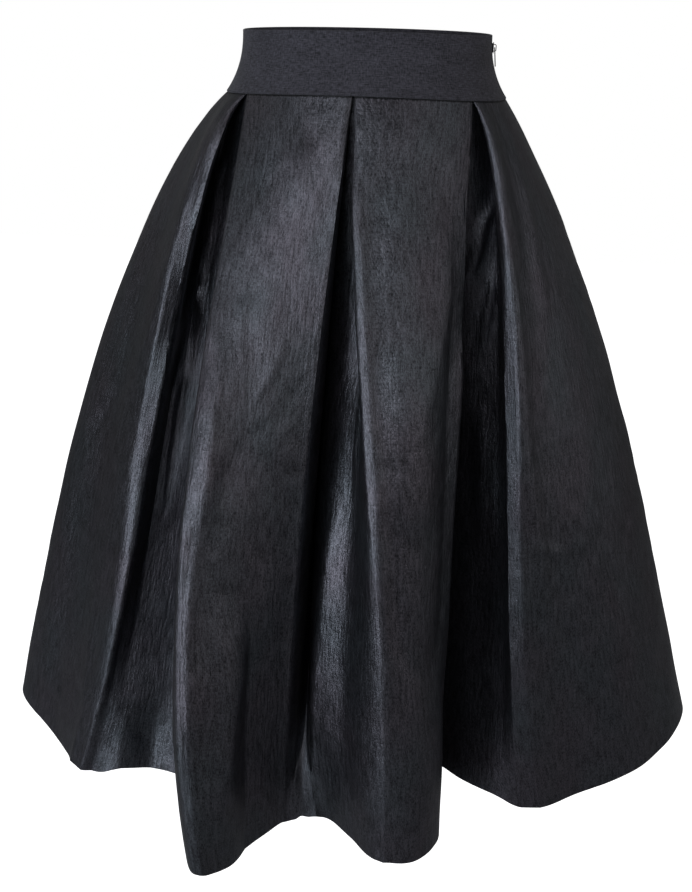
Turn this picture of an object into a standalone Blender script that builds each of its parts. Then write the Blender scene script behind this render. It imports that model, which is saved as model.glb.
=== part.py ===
"""A pleated midi skirt, held open in its worn shape.

A fitted waistband sits on six inverted pleats: one at the centre and two at the sides of the front, and the
same on the back. Each pleat is folded flat where it meets the band and opens into a deep wave at the hem. A
concealed zip runs down the wearer's left side seam. All sizes are metres, +Z is up, the front faces -Y, the
wearer's left is +X, and the origin is the middle of the waistband ring, which the wearer's waist holds.
"""

import math

import bmesh
import bpy
import numpy as np
from mathutils import Matrix

# --- cloth -------------------------------------------------------------------------------------------------
CLOTH_LENGTH = 0.745  # along the cloth, from the band seam to the hem
WALL = 0.0012
LAYER_STEP = 0.0019  # from one folded layer of a pleat to the next
PIECE_GAP = 0.0003
EARLY_SPREAD = 0.6  # how much of the flare comes in the upper part of the skirt
LEAST_FALL = 0.3  # a line always falls at least this share of its own length
FLICK_PEAK = 0.1  # where down the cloth a fold's flick is greatest
BOW_GAIN = 6.75  # makes t(1-t)^2, which swells at a third of the way, peak at 1
FINE_STEPS = 200  # steps down a column when its fall is added up
LEAST_MITRE = 0.6  # a sharp turn's wall is widened by no more than 1 over this
BACK_DEPTH_SHARE = 0.95  # the back stands out a little less than the front

# --- waistband ---------------------------------------------------------------------------------------------
BAND_HEIGHT = 0.060
BAND_WALL = 0.0024
BAND_TOP_HALF = (0.1215, 0.0850)  # half width and half depth of the ring along the top edge
SEAM_HALF = (0.1390, 0.0965)  # the same where the band meets the pleated cloth
BAND_FLARE_POWER = 2.4  # how late the band curves out over the hip
BAND_LEVELS = 8
BAND_COLUMNS = 33
SEAM_Z = -BAND_HEIGHT / 2

# --- pleats ------------------------------------------------------------------------------------------------
PLEAT_DEPTH = 0.036  # from a pleat's edge to its inner fold, along the band seam
PLEAT_AT = 52.0  # angle of the side pleats round the seam, from the centre front
TURN_RUN = 0.007  # how far each side of a folded line its turn reaches at the hem
LEVELS = (0, 0.012, 0.03, 0.06, 0.1, 0.15, 0.21, 0.28, 0.36, 0.44, 0.52, 0.6, 0.68, 0.76, 0.84, 0.92, 1)

# Each line that runs down the cloth, from the right side seam round the front to the left side seam.
#   kind   where it lies on the band seam: on a panel, or which edge, fold or layer of a pleat it is
#   at     angle of its panel point or its pleat round the band seam, in degrees
#   hem    x and y of its end on the hem, in mm
#   drop   how much longer than the cloth's length it hangs, in mm: bias edges drop, pleats ride up
#   early  how far it bows from a straight run at a third of its length, x and y in mm
#   late   the same at two thirds
#   flick  how far it swings sideways just under the band, in mm
FOLD_COLUMNS = ("name", "kind", "at", "hem", "drop", "early", "late", "flick")
FOLDS = (
    ("right_side_seam", "panel", -90, (-388, -57), 0, (-9, 0), (11, 0), -4),
    ("right_flare", "panel", -72, (-333, -112), 0, (-7, 0), (12, 0), -4),
    ("right_pleat_side_edge", "edge_in", -PLEAT_AT, (-271, -173), -3, (0, 0), (20, 0), -11),
    ("right_pleat_side_fold", "fold_in", -PLEAT_AT, (-236, -183), -17, (0, 30), (10, 20), 0),
    ("right_pleat_underlay", "underlay", -PLEAT_AT, (-200, -170), -20, (0, 30), (0, 20), 0),
    ("right_pleat_front_fold", "fold_out", -PLEAT_AT, (-162, -168), -18, (0, 30), (0, 20), 0),
    ("right_pleat_return", "return_out", -PLEAT_AT, (-136, -272), 8, (-2, 12), (-18, 0), 0),
    ("right_pleat_front_edge", "edge_out", -PLEAT_AT, (-112, -321), 20, (-8, 10), (-20, 0), 0),
    ("front_right_bend", "panel", -36, (-87, -290), 15, (0, 0), (-6, 0), 0),
    ("front_right_flat", "panel", -18, (-69, -233), 0, (0, 0), (-4, 0), 0),
    ("centre_pleat_right_edge", "edge_in", 0, (-45, -209), -7, (-2, 0), (1, 0), 0),
    ("centre_pleat_right_fold", "fold_in", 0, (-31, -203), -13, (0, 35), (0, 45), 0),
    ("centre_pleat_underlay", "underlay", 0, (-8, -198), -13, (0, 30), (-16, 10), 0),
    ("centre_pleat_left_fold", "fold_out", 0, (28, -226), -6, (0, 25), (-14, 0), 0),
    ("centre_pleat_left_edge", "edge_out", 0, (66, -260), 3, (-10, 0), (3, 0), 0),
    ("front_left_flat", "panel", 18, (95, -253), 3, (4, 0), (0, 0), 0),
    ("front_left_bend", "panel", 36, (117, -218), -3, (4, 0), (0, 0), 0),
    ("left_pleat_front_edge", "edge_in", PLEAT_AT, (113, -168), -8, (4, 0), (0, 0), 0),
    ("left_pleat_front_fold", "fold_in", PLEAT_AT, (104, -96), -22, (0, 30), (0, 25), 0),
    ("left_pleat_underlay", "underlay", PLEAT_AT, (140, -122), -21, (0, 30), (0, 25), 0),
    ("left_pleat_side_fold", "fold_out", PLEAT_AT, (178, -140), -15, (0, 20), (0, 10), 0),
    ("left_pleat_side_edge", "edge_out", PLEAT_AT, (211, -147), -3, (7, 0), (-16, 0), 8),
    ("left_flare_front", "panel", 64, (266, -112), 0, (6, 0), (-10, 0), 0),
    ("left_flare_side", "panel", 78, (338, -66), 0, (0, 0), (-14, 0), 0),
    ("left_side_seam", "panel", 90, (390, 56), 0, (-1, 0), (-15, 0), 0),
)

# --- concealed zip, in the left side seam --------------------------------------------------------------------
ZIP_SLOT = 0.0016  # between the band's two ends, where the slider's neck passes
TAPE_WALL = 0.0010
TAPE_REACH = (0.0006, 0.006, 0.0115)  # the tape's columns, as distances from the seam
TAPE_CLEAR = 0.0013  # from the middle of the walls to the tape's outer face
TAPE_TOP_Z = 0.0122
TAPE_STATIONS = 3  # how many stations each side of the seam the tapes can reach over
TAPE_ANGLE = 0.18  # how far round the band the tapes can reach each way, in radians
TAPE_FOOT = 0.19  # how far down the cloth the tapes end, as a share of its length
SLIDER_Z = 0.0180
SLIDER_BODY = (0.0026, 0.0074, 0.0110)  # depth, width, height
SLIDER_PLATE = (0.0007, 0.0032, 0.0104)
SLIDER_NECK = (0.0009, 0.0088)  # width and height
BAIL_WIRE = 0.00045
BAIL_HALF = 0.0031  # from the tab's axis to the middle of either leg
BAIL_CORNER = 0.0012
BAIL_WINDOW = 0.0018  # room under the bail for the tab's bar
TAB_WALL = 0.0010
TAB_BAR = 0.0010
TAB_SIZE = (0.0050, 0.0180)  # width and length
TAB_EYE = (0.0028, 0.0050)  # width and length of the hole that the bail passes through
TAB_LEAN = math.radians(5)  # the hanging tab lies against the flare of the band
EDGE_ROUNDING = 0.00025
CORNER_STEPS = 4  # straight pieces in each of the bail's corners

# --- colours -------------------------------------------------------------------------------------------------
TAFFETA = ((0.0075, 0.0080, 0.0100), 0.34, 0.0)
BAND_CLOTH = ((0.0240, 0.0240, 0.0300), 0.80, 0.0)
TAPE_CLOTH = ((0.0100, 0.0100, 0.0120), 0.85, 0.0)
ZIP_METAL = ((0.0300, 0.0300, 0.0330), 0.35, 0.9)


# --- scene helpers -------------------------------------------------------------------------------------------
def clear_scene():
    for old in list(bpy.data.objects):
        bpy.data.objects.remove(old, do_unlink=True)


def new_collection(name, is_helper=False):
    collection = bpy.data.collections.new(name)
    collection.hide_render = is_helper
    bpy.context.scene.collection.children.link(collection)
    return collection


def new_material(name, finish):
    colour, roughness, metallic = finish
    material = bpy.data.materials.new(name)
    material.use_nodes = True
    shader = material.node_tree.nodes["Principled BSDF"]
    shader.inputs["Base Color"].default_value = (*colour, 1)
    shader.inputs["Roughness"].default_value = roughness
    shader.inputs["Metallic"].default_value = metallic
    return material


def add_object(name, mesh, material, collection):
    mesh.name = name
    mesh.materials.clear()
    mesh.materials.append(material)
    obj = bpy.data.objects.new(name, mesh)
    collection.objects.link(obj)
    return obj


# --- the ring round the band seam ------------------------------------------------------------------------------
def ellipse_point(half, angle):
    """The point at an angle round an ellipse: 0 is the centre front, and +90 degrees the wearer's left."""
    return np.array([half[0] * math.sin(angle), -half[1] * math.cos(angle)])


def arc_table(half, steps=1440):
    """(angles, lengths) round the ellipse from the centre front, both ways."""
    angles = np.linspace(-math.pi, 2 * math.pi, steps + 1)
    points = np.array([ellipse_point(half, angle) for angle in angles])
    lengths = np.concatenate([[0], np.cumsum(np.linalg.norm(np.diff(points, axis=0), axis=1))])
    return angles, lengths - np.interp(0, angles, lengths)


SEAM_ANGLES, SEAM_LENGTHS = arc_table(SEAM_HALF)


def seam_point(at, along, layer):
    """A point of the folded cloth on the seam: `along` metres past the angle `at`, `layer` layers inside."""
    length = np.interp(math.radians(at), SEAM_ANGLES, SEAM_LENGTHS) + along
    angle = np.interp(length, SEAM_LENGTHS, SEAM_ANGLES)
    outward = np.array([math.sin(angle) / SEAM_HALF[0], -math.cos(angle) / SEAM_HALF[1]])
    return ellipse_point(SEAM_HALF, angle) - outward / np.linalg.norm(outward) * layer * LAYER_STEP


# --- where each kind of line lies in a folded pleat -------------------------------------------------------------
TURN = LAYER_STEP / 2
EDGE = PIECE_GAP / 2 + WALL / 2 * math.sqrt(2) + TURN
KIND_STATIONS = {  # shift along the hem, shift along the seam, layer
    "panel": ((0, 0, 0),),
    "edge_in": ((-TURN_RUN, -EDGE, 0), (0, -EDGE + TURN, 0.5), (TURN_RUN, -EDGE, 1)),
    "fold_in": ((-TURN_RUN, -PLEAT_DEPTH, 1), (0, -PLEAT_DEPTH - TURN, 1.5), (TURN_RUN, -PLEAT_DEPTH, 2)),
    "underlay": ((0, 0, 2),),
    "fold_out": ((-TURN_RUN, PLEAT_DEPTH, 2), (0, PLEAT_DEPTH + TURN, 1.5), (TURN_RUN, PLEAT_DEPTH, 1)),
    "return_out": ((0, PLEAT_DEPTH / 2, 1),),
    "edge_out": ((-TURN_RUN, EDGE, 1), (0, EDGE - TURN, 0.5), (TURN_RUN, EDGE, 0)),
}
STEPS_AFTER = {  # how many stations fill the stretch after each kind of line
    "panel": 2,
    "edge_in": 1,
    "fold_in": 1,
    "underlay": 1,
    "fold_out": 1,
    "return_out": 0,
    "edge_out": 2,
}


def fold_rows():
    """The front's lines, then the back's: the same folds turned half round, between the same side seams."""
    front = [dict(zip(FOLD_COLUMNS, row)) for row in FOLDS]
    back = []
    for row in front[1:-1]:
        turned = dict(row, name="back_" + row["name"], at=row["at"] + 180, flick=-row["flick"])
        for column in ("hem", "early", "late"):
            x, y = row[column]
            turned[column] = (-x, -y * BACK_DEPTH_SHARE)
        back.append(turned)
    closing = dict(front[0], at=front[0]["at"] + 360)
    return front + back + [closing]


def smooth_through(knots, values, at):
    """A curve through the values at the knots of a closed ring, with no kink, read at `at`."""
    span = knots[-1] - knots[0]
    knots = np.concatenate([[knots[-2] - span], knots, [knots[1] + span]])
    values = np.vstack([values[-2:-1], values, values[1:2]])
    before = (values[1:-1] - values[:-2]) / (knots[1:-1] - knots[:-2])[:, None]
    after = (values[2:] - values[1:-1]) / (knots[2:] - knots[1:-1])[:, None]
    gap_before = (knots[1:-1] - knots[:-2])[:, None]
    gap_after = (knots[2:] - knots[1:-1])[:, None]
    slopes = (before * gap_after + after * gap_before) / (gap_before + gap_after)
    knots, values = knots[1:-1], values[1:-1]
    index = np.clip(np.searchsorted(knots, at, side="right") - 1, 0, len(knots) - 2)
    width = (knots[index + 1] - knots[index])[:, None]
    u = ((at - knots[index])[:, None]) / width
    start = values[index] * (1 + 2 * u) * (1 - u) ** 2 + slopes[index] * width * u * (1 - u) ** 2
    end = values[index + 1] * u**2 * (3 - 2 * u) - slopes[index + 1] * width * u**2 * (1 - u)
    return start + end


def stations():
    """Every column of the cloth: its place on the folded seam, its place on the open hem, and its bows."""
    rows = fold_rows()
    hems = np.array([row["hem"] for row in rows]) / 1000
    knots = np.concatenate([[0], np.cumsum(np.linalg.norm(np.diff(hems, axis=0), axis=1))])
    bows = np.array([[*row["early"], *row["late"], row["flick"], row["drop"]] for row in rows]) / 1000
    starts, reach, seams = [], [], []
    for number, row in enumerate(rows):
        if row["name"].endswith("side_seam"):
            starts.append(len(reach))
        for shift, along, layer in KIND_STATIONS[row["kind"]]:
            reach.append(knots[number] + shift)
            seams.append((row["at"], along, layer))
        if number + 1 == len(rows):
            break
        following = rows[number + 1]
        first_shift, first_along, first_layer = KIND_STATIONS[following["kind"]][0]
        shift, along, layer = KIND_STATIONS[row["kind"]][-1]
        steps = STEPS_AFTER[row["kind"]]
        for step in range(1, steps + 1):
            share = step / (steps + 1)
            reach.append(
                (knots[number] + shift) * (1 - share) + (knots[number + 1] + first_shift) * share
            )
            seams.append(
                (
                    row["at"] * (1 - share) + following["at"] * share,
                    along * (1 - share) + first_along * share,
                    layer,
                )
            )
    reach = np.array(reach)
    hem = smooth_through(knots, hems, reach)
    bow = smooth_through(knots, bows, reach)
    seam = np.array([seam_point(*place) for place in seams])
    return seam, hem, bow, starts


def drape(seam, hem, bow, levels):
    """Points of the cloth's middle surface: every column keeps the cloth's own length on its way down."""
    fine = np.linspace(0, 1, FINE_STEPS + 1)
    share = fine[:, None, None]
    spread = share * (1 + EARLY_SPREAD * (1 - share))
    early = BOW_GAIN * share * (1 - share) ** 2
    late = BOW_GAIN * share**2 * (1 - share)
    flick = share / FLICK_PEAK * np.exp(1 - share / FLICK_PEAK) * (1 - share)
    plan = seam + (hem - seam) * spread + bow[:, 0:2] * early + bow[:, 2:4] * late
    plan = plan + np.stack([bow[:, 4], 0 * bow[:, 4]], axis=-1) * flick
    run = np.linalg.norm(np.diff(plan, axis=0), axis=2)
    step = (CLOTH_LENGTH + bow[:, 5]) / FINE_STEPS
    fall = np.sqrt(np.maximum(step**2 - run**2, (LEAST_FALL * step) ** 2))
    depth = np.vstack([np.zeros((1, fall.shape[1])), np.cumsum(fall, axis=0)])
    rings = []
    for level in levels:
        x = [np.interp(level, fine, plan[:, column, 0]) for column in range(plan.shape[1])]
        y = [np.interp(level, fine, plan[:, column, 1]) for column in range(plan.shape[1])]
        z = [np.interp(level, fine, depth[:, column]) for column in range(plan.shape[1])]
        rings.append(np.column_stack([x, y, SEAM_Z - PIECE_GAP / 2 - np.array(z)]))
    return np.array(rings)


def ring_directions(rings):
    """Unit tangents and outward normals in plan, with the mitre that keeps an even wall round a turn."""
    before = rings - np.roll(rings, 1, axis=1)
    after = np.roll(rings, -1, axis=1) - rings
    before[:, 0] = rings[:, 0] - rings[:, -2]
    after[:, -1] = rings[:, 1] - rings[:, 0]
    before = before[..., :2] / np.linalg.norm(before[..., :2], axis=-1, keepdims=True)
    after = after[..., :2] / np.linalg.norm(after[..., :2], axis=-1, keepdims=True)
    tangent = before + after
    tangent = tangent / np.linalg.norm(tangent, axis=-1, keepdims=True)
    normal = np.stack([tangent[..., 1], -tangent[..., 0]], axis=-1)
    mitre = 1 / np.maximum((tangent * before).sum(axis=-1, keepdims=True), LEAST_MITRE)
    return tangent, normal, mitre


# --- walls ---------------------------------------------------------------------------------------------------
def moved(rings, plan_shift):
    out = rings.copy()
    out[..., :2] += plan_shift
    return out


def wall_mesh(name, outer, inner):
    """One closed wall from two grids of points, rows running down and columns round."""
    rows, columns = outer.shape[:2]
    points = np.vstack([outer.reshape(-1, 3), inner.reshape(-1, 3)])
    other = rows * columns
    faces = []
    for row in range(rows - 1):
        for column in range(columns - 1):
            a = row * columns + column
            b, c, d = a + 1, a + columns + 1, a + columns
            faces.append((a, d, c, b))
            faces.append((a + other, b + other, c + other, d + other))
    rim = [column for column in range(columns)]
    rim += [row * columns + columns - 1 for row in range(1, rows)]
    rim += [(rows - 1) * columns + column for column in range(columns - 2, -1, -1)]
    rim += [row * columns for row in range(rows - 2, 0, -1)]
    for here, following in zip(rim, rim[1:] + rim[:1]):
        faces.append((here, following, following + other, here + other))
    mesh = bpy.data.meshes.new(name)
    mesh.from_pydata([tuple(point) for point in points], [], faces)
    mesh.validate()
    form = bmesh.new()
    form.from_mesh(mesh)
    bmesh.ops.recalc_face_normals(form, faces=form.faces)
    form.to_mesh(mesh)
    form.free()
    mesh.shade_smooth()
    mesh.set_sharp_from_angle(angle=math.radians(50))
    return mesh


# --- the pieces ----------------------------------------------------------------------------------------------
def skirt_grids():
    """The cloth's middle surface as (front, back) grids with their tangents, normals and mitres."""
    seam, hem, bow, starts = stations()
    rings = drape(seam, hem, bow, LEVELS)
    tangent, normal, mitre = ring_directions(rings)
    halves = []
    for first, last in zip(starts, starts[1:]):
        columns = slice(first, last + 1)
        halves.append((rings[:, columns], tangent[:, columns], normal[:, columns], mitre[:, columns]))
    return halves


def build_skirt(material, collection):
    for name, (rings, tangent, normal, mitre) in zip(("skirt_front", "skirt_back"), skirt_grids()):
        middle = rings.copy()
        middle[:, 0, :2] += tangent[:, 0] * PIECE_GAP / 2
        middle[:, -1, :2] -= tangent[:, -1] * PIECE_GAP / 2
        outer = moved(middle, normal * mitre * WALL / 2)
        inner = moved(middle, -normal * mitre * WALL / 2)
        add_object(name, wall_mesh(name, outer, inner), material, collection)


def band_half(z):
    """Half width and half depth of the band's ring at a height."""
    share = ((BAND_HEIGHT / 2 - z) / BAND_HEIGHT) ** BAND_FLARE_POWER
    return [top + (seam - top) * share for top, seam in zip(BAND_TOP_HALF, SEAM_HALF)]


def band_grid(start, end, gap_start, gap_end, offset):
    """A grid of the band between two angles, `offset` outside its middle, stopping short by the gaps."""
    heights = np.linspace(BAND_HEIGHT / 2, SEAM_Z + PIECE_GAP / 2, BAND_LEVELS)
    grid = []
    for z in heights:
        half = band_half(z)
        first = start + gap_start / half[1]
        last = end - gap_end / half[1]
        ring = []
        for angle in np.linspace(first, last, BAND_COLUMNS):
            outward = np.array([math.sin(angle) / half[0], -math.cos(angle) / half[1]])
            point = ellipse_point(half, angle) + outward / np.linalg.norm(outward) * offset
            ring.append((*point, z))
        grid.append(ring)
    return np.array(grid)


def build_band(material, collection):
    quarter = math.pi / 2
    for name, start, end, gaps in (
        ("waistband_front", -quarter, quarter, (PIECE_GAP / 2, ZIP_SLOT / 2)),
        ("waistband_back", quarter, 3 * quarter, (ZIP_SLOT / 2, PIECE_GAP / 2)),
    ):
        outer = band_grid(start, end, *gaps, BAND_WALL / 2 + PIECE_GAP)
        inner = band_grid(start, end, *gaps, PIECE_GAP - BAND_WALL / 2)
        add_object(name, wall_mesh(name, outer, inner), material, collection)


def tape_rings():
    """Rows of the left side seam's neighbourhood, from the band down into the cloth, as polylines in plan."""
    seam, hem, bow, starts = stations()
    rings = drape(seam, hem, bow, LEVELS)
    _, normal, _ = ring_directions(rings)
    middle = starts[1]
    near = slice(middle - TAPE_STATIONS, middle + TAPE_STATIONS + 1)
    heights = np.linspace(BAND_HEIGHT / 2, SEAM_Z + PIECE_GAP / 2, BAND_LEVELS)
    rows = []
    for z in (TAPE_TOP_Z, *heights[heights < TAPE_TOP_Z]):
        upper = heights[heights >= z][-1]
        lower = heights[heights <= z][0]
        share = 0 if upper == lower else (upper - z) / (upper - lower)
        half = np.array(band_half(upper)) * (1 - share) + np.array(band_half(lower)) * share
        angles = math.pi / 2 + np.linspace(-TAPE_ANGLE, TAPE_ANGLE, 2 * TAPE_STATIONS + 1)
        points = np.array([ellipse_point(half, angle) for angle in angles])
        outward = points / half**2
        rows.append((points, outward / np.linalg.norm(outward, axis=1, keepdims=True), z))
    for level, upper in zip(LEVELS[1:], LEVELS):
        row = LEVELS.index(level)
        share = min(1.0, (TAPE_FOOT - upper) / (level - upper))
        if share <= 0:
            break
        ring = rings[row - 1] * (1 - share) + rings[row] * share
        facing = normal[row - 1] * (1 - share) + normal[row] * share
        rows.append((ring[near, :2], facing[near], ring[middle, 2]))
    return rows


def along_polyline(points, values, distance):
    """The value found `distance` past the polyline's middle point."""
    lengths = np.concatenate([[0], np.cumsum(np.linalg.norm(np.diff(points, axis=0), axis=1))])
    at = lengths[len(points) // 2] + distance
    return np.array([np.interp(at, lengths, values[:, axis]) for axis in range(values.shape[1])])


def build_zip_tapes(material, collection):
    for name, side in (("zip_tape_front", -1), ("zip_tape_back", 1)):
        grids = []
        for depth in (TAPE_CLEAR, TAPE_CLEAR + TAPE_WALL):
            grid = []
            for points, facing, z in tape_rings():
                row = []
                for reach in TAPE_REACH:
                    place = along_polyline(points, points, side * reach)
                    row.append((*(place - along_polyline(points, facing, side * reach) * depth), z))
                grid.append(row)
            grids.append(np.array(grid)[:, ::side])
        add_object(name, wall_mesh(name, *grids), material, collection)


def add_box(name, size, centre, material, collection):
    mesh = bpy.data.meshes.new(name)
    form = bmesh.new()
    bmesh.ops.create_cube(form, size=1)
    bmesh.ops.scale(form, vec=size, verts=form.verts)
    bmesh.ops.translate(form, vec=centre, verts=form.verts)
    form.to_mesh(mesh)
    form.free()
    return add_object(name, mesh, material, collection)


def add_bail(name, plate_face, material, collection):
    """The bridge that the tab hangs from: a wire arch standing out from the slider's plate."""
    reach = BAIL_WINDOW + BAIL_WIRE
    outline = [(-SLIDER_PLATE[0] / 2, BAIL_HALF)]
    for step in range(CORNER_STEPS + 1):
        turn = math.pi / 2 * (1 - step / CORNER_STEPS)
        outline.append(
            (
                reach - BAIL_CORNER + BAIL_CORNER * math.cos(turn),
                BAIL_HALF - BAIL_CORNER + BAIL_CORNER * math.sin(turn),
            )
        )
    outline += [(out, -up) for out, up in reversed(outline)]
    curve = bpy.data.curves.new(name + "_path", "CURVE")
    curve.dimensions = "3D"
    curve.bevel_depth = BAIL_WIRE
    curve.bevel_resolution = 1
    curve.use_fill_caps = True
    spline = curve.splines.new("POLY")
    spline.points.add(len(outline) - 1)
    for point, (out, up) in zip(spline.points, outline):
        point.co = (plate_face + out, 0, SLIDER_Z + up, 1)
    guide = bpy.data.objects.new(name + "_path", curve)
    collection.objects.link(guide)
    bpy.context.view_layer.update()
    mesh = bpy.data.meshes.new_from_object(guide.evaluated_get(bpy.context.evaluated_depsgraph_get()))
    bpy.data.objects.remove(guide, do_unlink=True)
    form = bmesh.new()
    form.from_mesh(mesh)
    bmesh.ops.remove_doubles(form, verts=form.verts, dist=1e-6)
    bmesh.ops.recalc_face_normals(form, faces=form.faces)
    form.to_mesh(mesh)
    form.free()
    return add_object(name, mesh, material, collection)


def join_or_cut(target, operation, helper):
    helper.hide_render = True
    helper.display_type = "WIRE"
    modifier = target.modifiers.new(operation.lower() + "_" + helper.name, "BOOLEAN")
    modifier.operation = operation
    modifier.solver = "EXACT"
    modifier.object = helper


def round_edges(target):
    bevel = target.modifiers.new("rounded_edges", "BEVEL")
    bevel.width = EDGE_ROUNDING
    bevel.segments = 2
    bevel.limit_method = "ANGLE"
    bevel.angle_limit = math.radians(40)


def band_face(z, side):
    """How far out the band's outer (side 1) or inner (side -1) face lies at its left end."""
    return band_half(z)[0] + PIECE_GAP + side * BAND_WALL / 2


def build_slider(material, parts, helpers):
    """The slider: a body inside the band, a neck through the slot, and a plate and bail outside. Returns the
    distance out to the plate's face."""
    body_out = band_face(SLIDER_Z + SLIDER_BODY[2] / 2, -1) - PIECE_GAP
    plate_in = band_face(SLIDER_Z - SLIDER_PLATE[2] / 2, 1) + PIECE_GAP
    plate_face = plate_in + SLIDER_PLATE[0]
    body_at = (body_out - SLIDER_BODY[0] / 2, 0, SLIDER_Z)
    slider = add_box("zip_slider", SLIDER_BODY, body_at, material, parts)
    round_edges(slider)
    neck_from, neck_to = body_out - SLIDER_BODY[0] / 2, plate_in + SLIDER_PLATE[0] / 2
    neck_size = (neck_to - neck_from, *SLIDER_NECK)
    neck = add_box("slider_neck", neck_size, ((neck_from + neck_to) / 2, 0, SLIDER_Z), material, helpers)
    plate_at = (plate_in + SLIDER_PLATE[0] / 2, 0, SLIDER_Z)
    plate = add_box("slider_plate", SLIDER_PLATE, plate_at, material, helpers)
    bail = add_bail("slider_bail", plate_face, material, helpers)
    for piece in (neck, plate, bail):
        join_or_cut(slider, "UNION", piece)
    return plate_face


def build_pull_tab(plate_face, material, parts, helpers):
    """The tab, with its origin on the hinge axis: the middle of the bar that runs under the bail."""
    width, length = TAB_SIZE
    size = (TAB_WALL, width, length)
    tab = add_box("zip_pull_tab", size, (0, 0, TAB_BAR / 2 - length / 2), material, parts)
    eye_at = (0, 0, -TAB_BAR / 2 - TAB_EYE[1] / 2)
    eye = add_box("tab_eye", (4 * TAB_WALL, *TAB_EYE), eye_at, material, helpers)
    round_edges(tab)
    join_or_cut(tab, "DIFFERENCE", eye)
    hang = Matrix.Translation((plate_face + BAIL_WINDOW / 2, 0, SLIDER_Z))
    for piece in (tab, eye):
        piece.matrix_world = hang @ Matrix.Rotation(-TAB_LEAN, 4, "Y")


def build_pleated_skirt():
    clear_scene()
    parts = new_collection("pleated_midi_skirt")
    helpers = new_collection("cutters_and_joined_pieces", is_helper=True)
    build_skirt(new_material("taffeta", TAFFETA), parts)
    build_band(new_material("band_cloth", BAND_CLOTH), parts)
    build_zip_tapes(new_material("tape_cloth", TAPE_CLOTH), parts)
    metal = new_material("zip_metal", ZIP_METAL)
    plate_face = build_slider(metal, parts, helpers)
    build_pull_tab(plate_face, metal, parts, helpers)


build_pleated_skirt()
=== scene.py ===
# %% [markdown]
# # A pleated midi skirt in black taffeta
# The skirt has a matte woven band, a stiff shiny cloth set into it in six inverted pleats, and a concealed
# zip down the wearer's left side. The solids of the frame give its construction. This lesson adds how it
# looks: a finer cloth with its creases, the weave of each stuff, the zip's teeth and the sewing.
# The front faces -Y, the wearer's left is +X, and the origin is the middle of the waistband ring.

import math

import bpy
import numpy as np
from mathutils import Matrix, Vector, noise


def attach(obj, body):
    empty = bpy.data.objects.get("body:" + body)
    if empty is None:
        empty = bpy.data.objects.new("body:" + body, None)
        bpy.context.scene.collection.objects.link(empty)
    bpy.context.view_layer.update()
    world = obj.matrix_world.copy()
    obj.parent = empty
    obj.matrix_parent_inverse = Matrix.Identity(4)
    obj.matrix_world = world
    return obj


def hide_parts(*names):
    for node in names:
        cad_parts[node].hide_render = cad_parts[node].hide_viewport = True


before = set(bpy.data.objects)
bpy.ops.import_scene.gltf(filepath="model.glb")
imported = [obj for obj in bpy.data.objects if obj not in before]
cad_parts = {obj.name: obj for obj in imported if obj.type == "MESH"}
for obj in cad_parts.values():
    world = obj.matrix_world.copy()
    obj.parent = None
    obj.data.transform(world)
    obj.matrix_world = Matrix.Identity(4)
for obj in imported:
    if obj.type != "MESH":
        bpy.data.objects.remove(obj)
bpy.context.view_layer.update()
print("nodes:", sorted(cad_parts))

# %% [markdown]
# ## The sizes a pattern cutter would write down
# A skirt like this starts from a few numbers: the oval of the waist, the height of the band, the length of
# the cloth and the depth of a pleat. Everything below is worked out from them, so a longer skirt or a deeper
# pleat is one changed number.

# %% Sizes
CLOTH_LENGTH = 0.745  # along the cloth, from the band seam to the hem
CLOTH_WALL = 0.0008
SOLID_WALL = 0.0012  # the wall of the plain solids, which the pleat edges leave room for
LAYER_STEP = 0.0019  # from one folded layer of a pleat to the next
PIECE_GAP = 0.0003
EARLY_SPREAD = 0.6  # how much of the flare comes in the upper part of the skirt
LEAST_FALL = 0.3  # a line always falls at least this share of its own length
FLICK_PEAK = 0.1
BOW_GAIN = 6.75  # makes t(1-t)^2, which swells at a third of the way, peak at 1
BACK_DEPTH_SHARE = 0.95
BAND_HEIGHT = 0.060
BAND_WALL = 0.0024
BAND_TOP_HALF = (0.1215, 0.0850)
SEAM_HALF = (0.1390, 0.0965)
BAND_FLARE_POWER = 2.4
SEAM_Z = -BAND_HEIGHT / 2
FRONT_LIFT = 0.0072  # the seam rises a little at the centre front, as a shaped band's does
TOP_LIFT = 0.0045  # and so does its top edge
LIFT_REACH = 0.25  # the share of the length over which the cloth settles back to its own fall
PLEAT_DEPTH = 0.036
PLEAT_AT = 52.0
TURN_RUN = 0.007
ZIP_SLOT = 0.0016
TAPE_TOP_Z = 0.0122
TAPE_FOOT = 0.19  # how far down the cloth the tapes end, as a share of its length
TAPE_BACK = 0.0023  # from the middle of the walls to the tape's inner face
HEM_TURNING = 0.020  # how much cloth is folded up inside the hem
SEAM_TUCK = 0.006  # how far the innermost layer of a pleat reaches up into the band
TUCK_REACH = 0.0085  # the share of the length over which it does

# %% [markdown]
# ## How each fold falls
# A pleated skirt is easiest to describe by the lines that run down it: the side seams, the pressed edges of
# the pleats and the soft folds behind them. One row tells where a line starts on the band, where it ends on
# the hem, and how it bows on the way. The surface between the lines is then a smooth interpolation, which
# is how a draper thinks of it too. Simulating the cloth would lose these exact edges, so they are placed.

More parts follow.
